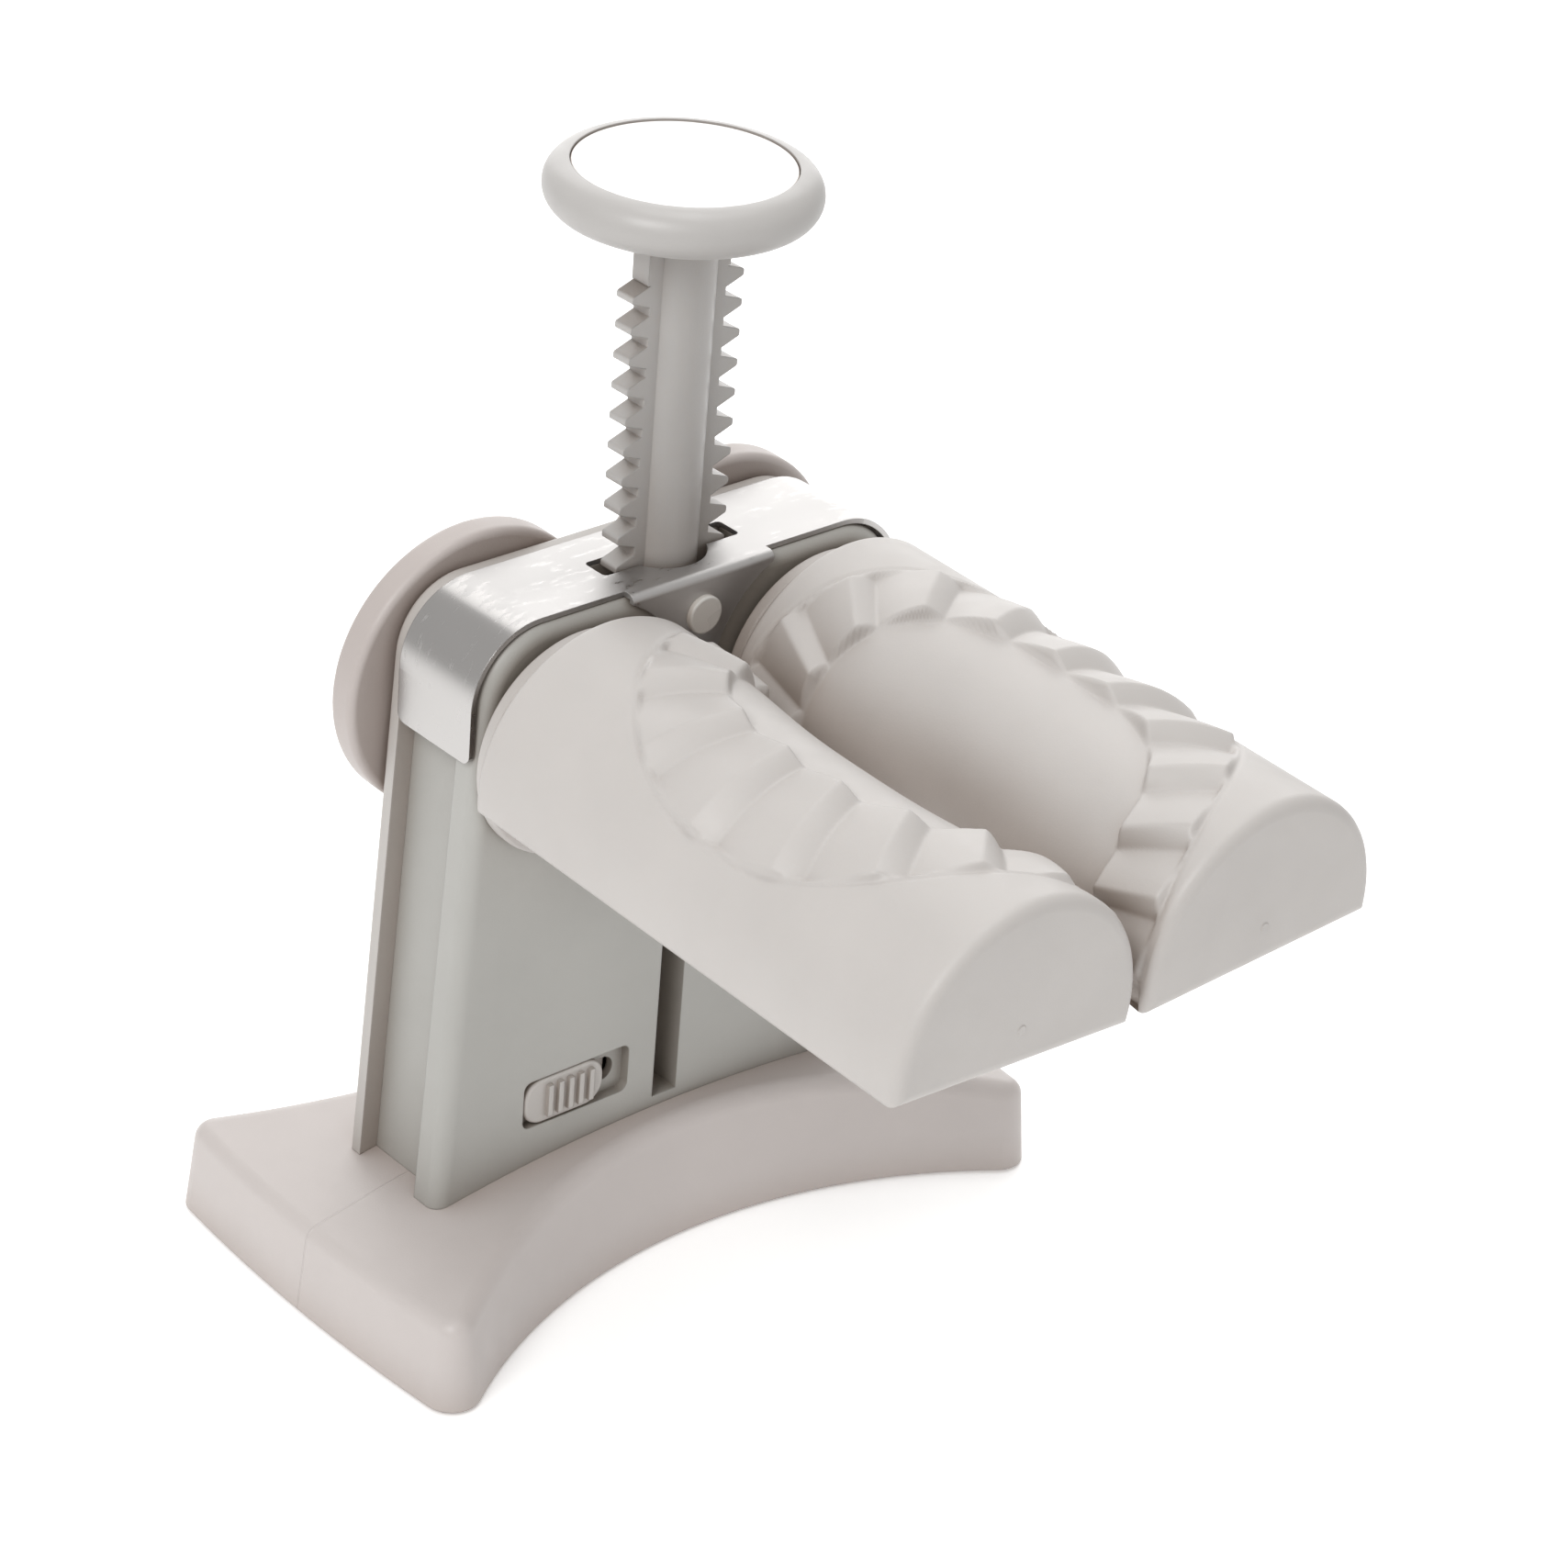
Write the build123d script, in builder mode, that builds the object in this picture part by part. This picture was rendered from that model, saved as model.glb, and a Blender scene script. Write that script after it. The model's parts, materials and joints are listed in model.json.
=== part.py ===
from build123d import *
import math
import os

# Hand press that folds and crimps round dumpling wrappers.
# Frame: X to the right, -Y to the front, +Z up.  The plunger axis is X = 0, Y = 0 and
# the table is Z = 0.  Millimetres.  Pieces on the right are made first and mirrored.

os.makedirs("parts", exist_ok=True)

# --- rollers and rack drive -------------------------------------------------------
roller_x = 23.0                 # roller axes stand at X = +-23
roller_z = 93.0                 # at the pinions; the axes fall a little towards the front
roller_droop = 1.5
pinion_mid_y = -0.8
module = 1.5
pinion_teeth = 19
pitch_r = module * pinion_teeth / 2
rack_pitch_x = roller_x - pitch_r
tooth_pitch = math.pi * module
pressure = math.radians(20)
backlash = 0.12                 # taken off each flank pair
roller_turn = 135.0             # degrees from open to fully pressed
stroke = pitch_r * math.radians(roller_turn)

# --- plunger ----------------------------------------------------------------------
column_top = 163.6
first_tooth_z = 155.0
rack_tooth_count = 16
root_x = 7.0
tip_x = 10.25
strip_x = 7.6
bar_y = (-2.6, 1.0)
rib_r = 5.6
carriage_z = (58.6, 109.4)
carriage_front_y = -4.0
rib_bottom = 98.0
foot_z = (58.6, 66.5)
foot_x = 10.2
notch_x = 6.4
spring_bore_r = 3.3
spring_top = 96.0

# --- housing ----------------------------------------------------------------------
front_y = -9.7
back_y = 11.8
cover_y = 9.3
plate_t = 3.8
web_t = 2.2
web_recess = 3.1
front_flange_y = -4.3
body_top = 112.0
shoulder_r = 11.2
half_width_foot = 43.8
foot_line_z = 17.5
side_slope = 0.0575
slot_half = 2.37
slot_floor = 22.6
cheek_t = 1.8
cheek_y = -4.2
cheek_top = 60.0

# --- base -------------------------------------------------------------------------
base_mid_y = (front_y + back_y) / 2
base_half_x = 60.9
base_end_r = 459.0
waist_half = 17.75
base_arc_r = 93.4
base_corner_x = 58.5
crown_r = 272.0
crown_z = 20.8
base_wall = 2.6
base_gap = 0.6                  # skirt stands this far above the table
top_wall = 3.0
plate_z = (1.2, 2.8)
draft = 6.0
crown_edge_r = 2.6
base_corner_r = 4.5

# --- moulds -----------------------------------------------------------------------
mould_r = 21.8
crest_r = 22.8
mould_y = (-104.4, -15.8)
mould_mid_y = sum(mould_y) / 2
flat_below = 3.63
mould_roll = 3.0
shaft_r = 2.5
shaft_y = (-34.0, 15.1)


def half_width(z):
    """Half of the housing's width at height z; the sides lean inwards."""
    return half_width_foot - side_slope * (z - foot_line_z)


def at_y(y):
    """Vertical plane facing the front, at depth y: local x is X and local y is Z."""
    return Plane.XZ.offset(-y)


droop = (Location((0, pinion_mid_y, roller_z)) * Location((0, 0, 0), (roller_droop, 0, 0))
         * Location((0, -pinion_mid_y, -roller_z)))


def across_roller(y):
    """Plane square to the drooping roller axes, met by them at depth y."""
    return Plane(droop * at_y(y).location)


def lean_outline(inset, bottom, top, corner):
    """Outline of the leaning housing, inset from its outer face, with rounded shoulders."""
    with BuildSketch(mode=Mode.PRIVATE) as outline:
        low, high = half_width(bottom) - inset, half_width(top) - inset
        with BuildLine():
            Polyline((-low, bottom), (low, bottom), (high, top), (-high, top), close=True)
        make_face()
        fillet(outline.vertices().group_by(Axis.Y)[-1], corner)
    return outline.sketch


def finish(builder, name):
    """Label one finished piece and write it."""
    builder.part.label = name
    export_step(builder.part, f"parts/{name}.step")


def finish_pair(builder, name):
    """Write a right-hand piece and its mirror image for the left side."""
    finish(builder, f"right_{name}")
    with BuildPart() as twin:
        mirror(builder.part, about=Plane.YZ)
    finish(twin, f"left_{name}")


# --- base: a waisted foot with a crowned top ---------------------------------------
arc_centre_y = waist_half + base_arc_r
corner_y = arc_centre_y - math.sqrt(base_arc_r**2 - base_corner_x**2)


def foot_plan(inset):
    """Plan of the base about its own middle: two hollow long sides and bowed ends."""
    with BuildSketch(mode=Mode.PRIVATE) as plan:
        with BuildLine():
            ThreePointArc((-base_corner_x, -corner_y), (0, -waist_half), (base_corner_x, -corner_y))
            ThreePointArc((base_corner_x, -corner_y), (base_half_x, 0), (base_corner_x, corner_y))
            ThreePointArc((base_corner_x, corner_y), (0, waist_half), (-base_corner_x, corner_y))
            ThreePointArc((-base_corner_x, corner_y), (-base_half_x, 0), (-base_corner_x, -corner_y))
        make_face()
        if inset:
            offset(amount=-inset, kind=Kind.INTERSECTION)
        fillet(plan.vertices(), base_corner_r - inset)
    return plan.sketch.moved(Location((0, base_mid_y, 0)))


def under_crown(drop):
    """Big lying cylinder whose top is the crown, lowered by drop."""
    with BuildPart(mode=Mode.PRIVATE) as roll:
        with BuildSketch(at_y(base_mid_y)):
            with Locations((0, crown_z - drop - crown_r)):
                Circle(crown_r)
        extrude(amount=base_half_x, both=True)
    return roll.part


screw_spots = [(x, base_mid_y + y) for x in (-49, 49) for y in (-21, 21)]
housing_spots = [(x, 5.2) for x in (-32, -18, 18, 32)]

with BuildPart() as base:
    with BuildSketch(Plane.XY.offset(base_gap)):
        add(foot_plan(0))
    extrude(amount=crown_z + 2, taper=draft)
    add(under_crown(0), mode=Mode.INTERSECT)
    fillet(base.faces().sort_by(Axis.Z)[-1].edges(), crown_edge_r)
    with BuildPart(mode=Mode.PRIVATE) as cavity:
        with BuildSketch(Plane.XY):
            add(foot_plan(base_wall))
        extrude(amount=crown_z, taper=draft)
        add(under_crown(top_wall), mode=Mode.INTERSECT)
    add(cavity.part, mode=Mode.SUBTRACT)
    with BuildPart(mode=Mode.PRIVATE) as bosses:
        with BuildSketch(Plane.XY.offset(plate_z[1])):
            with Locations(*screw_spots):
                Circle(4.2)
        extrude(amount=crown_z)
        add(under_crown(top_wall / 2), mode=Mode.INTERSECT)
    add(bosses.part)
    with BuildSketch(Plane.XY):
        with Locations(*screw_spots):
            Circle(1.4)
    extrude(amount=12, mode=Mode.SUBTRACT)
    with BuildSketch(Plane.XY.offset(10)):
        with Locations(*housing_spots):
            Circle(1.7)
        Circle(2.02)
    extrude(amount=14, mode=Mode.SUBTRACT)
finish(base, "base")

# --- bottom plate, its feet and screws ---------------------------------------------
with BuildPart() as base_plate:
    with BuildSketch(Plane.XY.offset(plate_z[0])):
        add(foot_plan(base_wall + 0.5))
    extrude(amount=plate_z[1] - plate_z[0])
    with BuildSketch(Plane.XY.offset(plate_z[0])):
        with Locations(*screw_spots):
            Circle(1.6)
    extrude(amount=plate_z[1] - plate_z[0], mode=Mode.SUBTRACT)
finish(base_plate, "base_plate")

with BuildPart() as anti_slip_feet:
    with BuildSketch(Plane.XY):
        with Locations((0, 0), *[(x, base_mid_y + y) for x in (-38, 38) for y in (-15, 15)]):
            Circle(6)
    extrude(amount=plate_z[0])
    chamfer(anti_slip_feet.edges().group_by(Axis.Z)[0], 0.3)
finish(anti_slip_feet, "anti_slip_feet")

with BuildPart() as base_screws:
    for x, y in screw_spots:
        with BuildSketch(Plane.XY.offset(0.35)):
            with Locations((x, y)):
                Circle(2.9)
                SlotCenterToCenter(2.6, 0.7, mode=Mode.SUBTRACT)
        extrude(amount=plate_z[0] - 0.35)
        with BuildSketch(Plane.XY.offset(plate_z[0] - 0.35)):
            with Locations((x, y)):
                Circle(1.35)
        extrude(amount=10.5)
finish(base_screws, "base_screws")

with BuildPart() as housing_screws:
    for x, y in housing_spots:
        under = crown_z - top_wall - x * x / (2 * crown_r)
        with BuildSketch(Plane.XY.offset(under - 2.4)):
            with Locations((x, y)):
                Circle(2.9)
                SlotCenterToCenter(2.6, 0.7, mode=Mode.SUBTRACT)
        extrude(amount=1.6)
        with BuildSketch(Plane.XY.offset(under - 1.4)):
            with Locations((x, y)):
                Circle(1.35)
        extrude(amount=14)
finish(housing_screws, "housing_screws")

# --- front housing: plate, recessed side webs and top ------------------------------
cover_spots = [(x, z) for x in (-31.5, 31.5) for z in (44, 66)]
lock_z = 30.15
recess_x = (-27.9, -7.6)
lock_slot_x = (-26.2, -9.3)
pinion_y = (-2.3, 0.7)
hub_y = (-4.05, 7.45)
web_inset = web_recess + web_t

with BuildPart() as front_housing:
    with BuildSketch(at_y(front_y)):
        add(lean_outline(0, 8, body_top, shoulder_r))
    extrude(amount=front_y - cover_y)
    fillet(front_housing.faces().sort_by(Axis.Y)[0].edges(), 2.4)
    # side webs stand back from both flanges
    with BuildSketch(at_y(front_flange_y)):
        with BuildLine():
            Polyline((half_width(8), 8), (half_width(102), 102), (50, 102), (50, 8), close=True)
        make_face()
        offset(amount=web_recess, kind=Kind.INTERSECTION)
        with Locations((0, 60)):
            Rectangle(120, 104 - web_recess, mode=Mode.INTERSECT)
        mirror(about=Plane.YZ)
    extrude(amount=front_flange_y - cover_y, mode=Mode.SUBTRACT)
    # hollow inside, open to the rear
    with BuildSketch(at_y(front_y + plate_t)):
        add(lean_outline(web_inset, 8, body_top - 2.4, 7))
    extrude(amount=front_y + plate_t - cover_y, mode=Mode.SUBTRACT)
    # floor that carries the bosses, open round the spring post
    with BuildSketch(at_y(front_y + plate_t)):
        with Locations((0, slot_floor - 8)):
            Rectangle(2 * (half_width(slot_floor) - web_recess - web_t / 2), 16)
    extrude(amount=front_y + plate_t - cover_y)
    # guide cheeks and sill behind the long slot
    cheek_back = front_y + plate_t - cheek_y
    with BuildSketch(at_y(front_y + plate_t)):
        with Locations((0, (slot_floor + cheek_top) / 2 - 5)):
            Rectangle(2 * (slot_half + cheek_t), cheek_top - slot_floor + 10)
    extrude(amount=cheek_back)
    with BuildSketch(at_y(front_y + plate_t)):
        with Locations((-6.5, 86), (6.5, 86)):
            Rectangle(1.2, 42)
    extrude(amount=front_y + plate_t + 3.0)
    with BuildSketch(at_y(front_y)):
        with Locations((0, (slot_floor + 100) / 2)):
            Rectangle(2 * slot_half, 100 - slot_floor)
    extrude(amount=front_y - cheek_y, mode=Mode.SUBTRACT)
    # screw bosses
    with BuildSketch(at_y(front_y + plate_t)):
        with Locations(*cover_spots):
            Circle(3.2)
    extrude(amount=front_y + plate_t - cover_y)
    with BuildSketch(at_y(cover_y)):
        with Locations(*cover_spots):
            Circle(1.3)
    extrude(amount=12, mode=Mode.SUBTRACT)
    with BuildSketch(Plane.XY.offset(10)):
        with Locations(*housing_spots):
            Circle(3.4)
    extrude(amount=24)
    with BuildSketch(Plane.XY.offset(10)):
        with Locations(*housing_spots):
            Circle(1.4)
    extrude(amount=22, mode=Mode.SUBTRACT)
    with BuildSketch(Plane.XY.offset(10)):
        Circle(3.8)
    extrude(amount=slot_floor - 10, mode=Mode.SUBTRACT)
    # lock recess, its slot, and the pocket behind
    with BuildSketch(at_y(front_y)):
        with Locations((sum(recess_x) / 2, lock_z)):
            RectangleRounded(recess_x[1] - recess_x[0], 8.3, 1.4)
    extrude(amount=-1.8, mode=Mode.SUBTRACT)
    with BuildSketch(at_y(front_y)):
        with Locations((sum(lock_slot_x) / 2, lock_z)):
            SlotOverall(lock_slot_x[1] - lock_slot_x[0], 4.1)
    extrude(amount=-plate_t, mode=Mode.SUBTRACT)
    with BuildSketch(at_y(-6.5)):
        with Locations((-17.75, lock_z)):
            Rectangle(26.5, 7.8)
    extrude(amount=-1, mode=Mode.SUBTRACT)
    # roller bush holes
    with BuildSketch(across_roller(front_y - 1)):
        with Locations((-roller_x, roller_z), (roller_x, roller_z)):
            Circle(5)
    extrude(amount=-plate_t - 2, mode=Mode.SUBTRACT)
    # way out for the plunger in the top
    with BuildSketch(Plane.XY.offset(carriage_z[1] + 0.2)):
        with Locations((0, (-3.2 + 1.65) / 2)):
            Rectangle(25.6, 4.85)
        Circle(7.1)
        with Locations((0, 1.65 + 5)):
            Rectangle(30, 10, mode=Mode.SUBTRACT)
    extrude(amount=5, mode=Mode.SUBTRACT)
    # room for the pinion teeth: a window under the strap and a thin place below it
    with BuildSketch(at_y(pinion_y[0] - 0.6)):
        for side in (-1, 1):
            with Locations((side * 36, roller_z + 7.1)):
                Rectangle(12, 14)
            with Locations((side * 32.6, roller_z - 7.9)):
                Rectangle(6, 17)
    extrude(amount=pinion_y[0] - pinion_y[1] - 1.2, mode=Mode.SUBTRACT)
    # rivet hole of the strap
    with BuildSketch(at_y(front_y)):
        with Locations((0, 106.4)):
            Circle(1.52)
    extrude(amount=-plate_t, mode=Mode.SUBTRACT)
    # sits on the crown of the base
    add(under_crown(0), mode=Mode.SUBTRACT)
finish(front_housing, "front_housing")

# --- rear cover with its guide ribs -------------------------------------------------
with BuildPart() as rear_cover:
    with BuildSketch(at_y(cover_y)):
        add(lean_outline(0, 8, body_top, shoulder_r))
    extrude(amount=cover_y - back_y)
    with BuildSketch(at_y(1.4)):
        with Locations((-6.65, 67), (6.65, 67)):
            Rectangle(1.5, 82)
    extrude(amount=1.4 - cover_y)
    with BuildSketch(across_roller(cover_y - 1)):
        with Locations((-roller_x, roller_z), (roller_x, roller_z)):
            Circle(5)
    extrude(amount=cover_y - back_y - 2, mode=Mode.SUBTRACT)
    with BuildSketch(at_y(cover_y)):
        with Locations(*cover_spots):
            Circle(1.6)
    extrude(amount=cover_y - back_y, mode=Mode.SUBTRACT)
    add(under_crown(0), mode=Mode.SUBTRACT)
    fillet(rear_cover.faces().sort_by(Axis.Y)[-1].outer_wire().edges().filter_by(
        lambda e: e.center().Z > foot_line_z + 8), 0.8)
finish(rear_cover, "rear_cover")

with BuildPart() as cover_screws:
    for x, z in cover_spots:
        with BuildSketch(at_y(back_y)):
            with Locations((x, z)):
                Circle(2.8)
                SlotCenterToCenter(2.4, 0.7, mode=Mode.SUBTRACT)
        extrude(amount=-1.4)
        with BuildSketch(at_y(back_y + 0.4)):
            with Locations((x, z)):
                Circle(1.25)
        extrude(amount=11)
finish(cover_screws, "cover_screws")

# --- steel strap over the shoulders, with its front tab and rivet -------------------
strap_t = 0.8
strap_y = (-8.4, 8.4)
strap_bottom = 92.3
strap_inner_x = 39.7
tab_half = 13.35
tab_arc_r = 20.8
tab_bottom = 98.5

with BuildPart() as top_strap:
    with BuildSketch(at_y(strap_y[0])):
        outer_x = strap_inner_x + strap_t
        strap_h = body_top + strap_t - strap_bottom
        with Locations((0, strap_bottom + strap_h / 2)):
            outer = Rectangle(2 * outer_x, strap_h)
        fillet(outer.vertices().group_by(Axis.Y)[-1], shoulder_r + strap_t)
        with BuildSketch(mode=Mode.PRIVATE) as inside:
            with Locations((0, (strap_bottom + body_top) / 2)):
                Rectangle(2 * strap_inner_x, body_top - strap_bottom)
            fillet(inside.vertices().group_by(Axis.Y)[-1], shoulder_r)
        add(inside.sketch, mode=Mode.SUBTRACT)
    extrude(amount=strap_y[0] - strap_y[1])
    fillet(top_strap.edges().filter_by(Axis.X).group_by(Axis.Z)[0], 1.6)
    # tab: a short bent flap that runs down the front plate
    bend_r = 1.2
    with BuildSketch(Plane.YZ):
        with BuildLine():
            front_face = front_y - strap_t
            Polyline((strap_y[0], body_top), (strap_y[0], body_top + strap_t),
                     (front_face, body_top + strap_t), (front_face, tab_bottom),
                     (front_y, tab_bottom), (front_y, body_top), close=True)
        make_face()
    extrude(amount=tab_half, both=True)
    fillet(top_strap.edges().filter_by(Axis.X).filter_by(
        lambda e: abs(e.center().Y - front_face) < 0.01 and e.center().Z > body_top), bend_r)
    with BuildSketch(at_y(front_y)):
        with Locations((-roller_x, roller_z), (roller_x, roller_z)):
            Circle(tab_arc_r)
    extrude(amount=strap_t, mode=Mode.SUBTRACT)
    # cut-out round the plunger
    with BuildSketch(Plane.XY.offset(body_top)):
        with Locations((0, (-3.2 + 1.65) / 2)):
            RectangleRounded(25.6, 4.85, 0.8)
        Circle(7.1)
        with Locations((0, 1.65 + 5)):
            Rectangle(30, 10, mode=Mode.SUBTRACT)
    extrude(amount=strap_t, mode=Mode.SUBTRACT)
    with BuildSketch(at_y(front_y)):
        with Locations((0, 106.4)):
            Circle(1.52)
    extrude(amount=strap_t, mode=Mode.SUBTRACT)
finish(top_strap, "top_strap")

with BuildPart() as strap_peg:
    with BuildSketch(at_y(front_y - strap_t)):
        with Locations((0, 106.4)):
            Circle(3.0)
    extrude(amount=1.0)
    fillet(strap_peg.edges().sort_by(Axis.Y)[0], 0.35)
    with BuildSketch(at_y(front_y - strap_t)):
        with Locations((0, 106.4)):
            Circle(1.5)
    extrude(amount=-plate_t - strap_t + 0.2)
finish(strap_peg, "strap_peg")

# --- plunger: a double rack with a round rib and a hollow carriage -------------------
half_top = module * math.pi / 4 - backlash - module * math.tan(pressure)
half_root = module * math.pi / 4 - backlash + (rack_pitch_x - root_x) * math.tan(pressure)
key_half = slot_half - 0.2

with BuildPart() as plunger_rack:
    with BuildSketch(Plane.XY.offset(carriage_z[0])):
        Circle(rib_r)
    extrude(amount=carriage_z[1] - carriage_z[0])
    with BuildSketch(Plane.XY.offset(carriage_z[0])):
        with Locations((0, carriage_front_y - 5)):
            Rectangle(20, 10)
    extrude(amount=rib_bottom - carriage_z[0], mode=Mode.SUBTRACT)
    # key that runs in the long slot
    with BuildSketch(Plane.XY.offset(carriage_z[0])):
        with Locations((0, (carriage_front_y - 6.5) / 2)):
            Rectangle(2 * key_half, 6.5 + carriage_front_y + 2)
    extrude(amount=32)
    # rib: front half of the round column
    with BuildSketch(Plane.XY.offset(rib_bottom)):
        Circle(rib_r)
        with Locations((0, bar_y[1] + 5)):
            Rectangle(20, 10, mode=Mode.SUBTRACT)
    extrude(amount=column_top - rib_bottom)
    # flat bar with the plain strip above the teeth
    with BuildSketch(Plane.XY.offset(foot_z[0])):
        with Locations((0, sum(bar_y) / 2)):
            Rectangle(2 * root_x, bar_y[1] - bar_y[0])
    extrude(amount=column_top - foot_z[0])
    with BuildSketch(Plane.XY.offset(first_tooth_z + half_root)):
        with Locations((0, sum(bar_y) / 2)):
            Rectangle(2 * strip_x, bar_y[1] - bar_y[0])
    extrude(amount=column_top - first_tooth_z - half_root)
    # teeth down both sides
    with BuildSketch(at_y(bar_y[0])) as teeth:
        for i in range(rack_tooth_count):
            z = first_tooth_z - i * tooth_pitch
            for side in (-1, 1):
                with BuildLine():
                    Polyline((side * (root_x - 0.5), z - half_root), (side * root_x, z - half_root),
                             (side * tip_x, z - half_top), (side * tip_x, z + half_top),
                             (side * root_x, z + half_root), (side * (root_x - 0.5), z + half_root),
                             close=True)
                make_face()
        fillet(teeth.vertices().filter_by(lambda v: abs(abs(v.X) - tip_x) < 0.01), 0.42)
    extrude(amount=bar_y[0] - bar_y[1])
    # foot with the lock notch on the left
    with BuildSketch(Plane.XY.offset(foot_z[0])):
        with Locations((0, sum(bar_y) / 2)):
            Rectangle(2 * foot_x, bar_y[1] - bar_y[0])
    extrude(amount=foot_z[1] - foot_z[0])
    with BuildSketch(at_y(bar_y[0])):
        with Locations((-foot_x + (foot_x - notch_x) / 2 - 1, lock_z + stroke)):
            Rectangle(foot_x - notch_x + 2, 3.5)
    extrude(amount=bar_y[0] - bar_y[1], mode=Mode.SUBTRACT)
    # bore for the return spring
    with BuildSketch(Plane.XY.offset(carriage_z[0])):
        Circle(spring_bore_r)
    extrude(amount=spring_top - carriage_z[0], mode=Mode.SUBTRACT)
    # screw hole in the top
    with BuildSketch(Plane.XY.offset(column_top)):
        with Locations((0, -1)):
            Circle(1.25)
    extrude(amount=-16, mode=Mode.SUBTRACT)
finish(plunger_rack, "plunger_rack")

# --- push button, its screw and inlay ------------------------------------------------
rim_r = 3.7
rim_centre = (16.3, 169.2)
inlay_r = 16.2
inlay_seat = 171.5
button_bottom_r = 9.0

with BuildPart() as push_button:
    with BuildSketch(Plane.XZ) as button_profile:
        with BuildLine():
            Line((0, column_top), (button_bottom_r, column_top))
            Spline((button_bottom_r, column_top), (rim_centre[0], rim_centre[1] - rim_r),
                   tangents=((1, 0), (1, 0.02)))
            ThreePointArc((rim_centre[0], rim_centre[1] - rim_r), (rim_centre[0] + rim_r, rim_centre[1]),
                          (rim_centre[0], rim_centre[1] + rim_r))
            Polyline((rim_centre[0], rim_centre[1] + rim_r), (inlay_r, rim_centre[1] + rim_r),
                     (inlay_r, inlay_seat), (0, inlay_seat), (0, column_top))
        make_face()
    revolve(axis=Axis.Z)
    with BuildSketch(Plane.XY.offset(inlay_seat)):
        with Locations((0, -1)):
            Circle(4.0)
    extrude(amount=-2.2, mode=Mode.SUBTRACT)
    with BuildSketch(Plane.XY.offset(inlay_seat)):
        with Locations((0, -1)):
            Circle(1.6)
    extrude(amount=column_top - inlay_seat, mode=Mode.SUBTRACT)
finish(push_button, "push_button")

with BuildPart() as button_screw:
    with BuildSketch(Plane.XY.offset(inlay_seat - 2.2)):
        with Locations((0, -1)):
            Circle(3.6)
    extrude(amount=1.8)
    with BuildSketch(Plane.XY.offset(inlay_seat - 2.2)):
        with Locations((0, -1)):
            Circle(1.2)
    extrude(amount=-19)
finish(button_screw, "button_screw")

with BuildPart() as button_inlay:
    with BuildSketch(Plane.XY.offset(inlay_seat)):
        Circle(inlay_r - 0.1)
    extrude(amount=1.2)
    fillet(button_inlay.edges().sort_by(Axis.Z)[-1], 0.3)
finish(button_inlay, "button_inlay")

# --- return spring on its post ---------------------------------------------------------
spring_r = 3.0
wire_t = 0.8
post_flange_z = 22.0

with BuildPart() as spring_post:
    with BuildSketch(Plane.XY.offset(crown_z - top_wall)):
        Circle(2.0)
    extrude(amount=top_wall)
    with BuildSketch(Plane.XY.offset(crown_z)):
        Circle(3.6)
    extrude(amount=post_flange_z - crown_z)
    with BuildSketch(Plane.XY.offset(post_flange_z)):
        Circle(1.9)
    extrude(amount=28)
    chamfer(spring_post.edges().sort_by(Axis.Z)[-1], 0.6)
finish(spring_post, "spring_post")

with BuildPart() as return_spring:
    with BuildSketch(Plane.XY.offset(post_flange_z)):
        Circle(spring_r)
        Circle(spring_r - wire_t, mode=Mode.SUBTRACT)
    extrude(amount=spring_top - post_flange_z)
finish(return_spring, "return_spring")

# --- pinions: toothed only over the arc that the rack reaches ----------------------------
pinion_tip_r = pitch_r + 1.2
pinion_root_r = pitch_r - 1.75
base_circle_r = pitch_r * math.cos(pressure)
tooth_angle = 360 / pinion_teeth
# a rack tooth stands this far above the roller axis, and a pinion gap takes it
mesh_rise = (first_tooth_z - roller_z) % tooth_pitch
first_gap = 180 - math.degrees(mesh_rise / pitch_r)
sector_teeth = 9


def involute_half_angle(r):
    """Half the tooth's thickness, as an angle, at radius r."""
    at_pitch = (tooth_pitch / 2 - 2 * backlash) / (2 * pitch_r)
    tilt = math.acos(min(1.0, base_circle_r / r))
    return at_pitch + math.tan(pressure) - pressure - (math.tan(tilt) - tilt)


flank_r = [base_circle_r + (pinion_tip_r - base_circle_r) * i / 4 for i in range(5)]

with BuildPart() as pinion:
    with BuildSketch(across_roller(pinion_y[0])):
        with Locations((roller_x, roller_z)):
            Circle(pinion_root_r - 0.5)
        for i in range(sector_teeth):
            middle = math.radians(first_gap + tooth_angle / 2 - i * tooth_angle)
            flank = [(r, involute_half_angle(r)) for r in flank_r]
            flank = [(pinion_root_r - 2.0, flank[0][1]), *flank]
            outline = [(r, -a) for r, a in flank] + [(r, a) for r, a in reversed(flank)]
            with BuildLine():
                Polyline(*[(roller_x + r * math.cos(middle + a), roller_z + r * math.sin(middle + a))
                           for r, a in outline], close=True)
            make_face()
    extrude(amount=pinion_y[0] - pinion_y[1])
    with BuildSketch(across_roller(hub_y[0])):
        with Locations((roller_x, roller_z)):
            Circle(5.5)
    extrude(amount=hub_y[0] - hub_y[1])
    with BuildSketch(across_roller(hub_y[0])):
        with Locations((roller_x, roller_z)):
            Circle(shaft_r)
    extrude(amount=hub_y[0] - hub_y[1], mode=Mode.SUBTRACT)
finish_pair(pinion, "pinion")

# --- shafts and the bushes they turn in ----------------------------------------------------
with BuildPart() as shaft:
    with BuildSketch(across_roller(shaft_y[0])):
        with Locations((roller_x, roller_z)):
            Circle(shaft_r)
    extrude(amount=shaft_y[0] - shaft_y[1])
    chamfer(shaft.edges(), 0.3)
    with BuildSketch(across_roller(shaft_y[1])):
        with Locations((roller_x, roller_z)):
            Circle(1.22)
    extrude(amount=10, mode=Mode.SUBTRACT)
finish_pair(shaft, "shaft")


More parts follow.
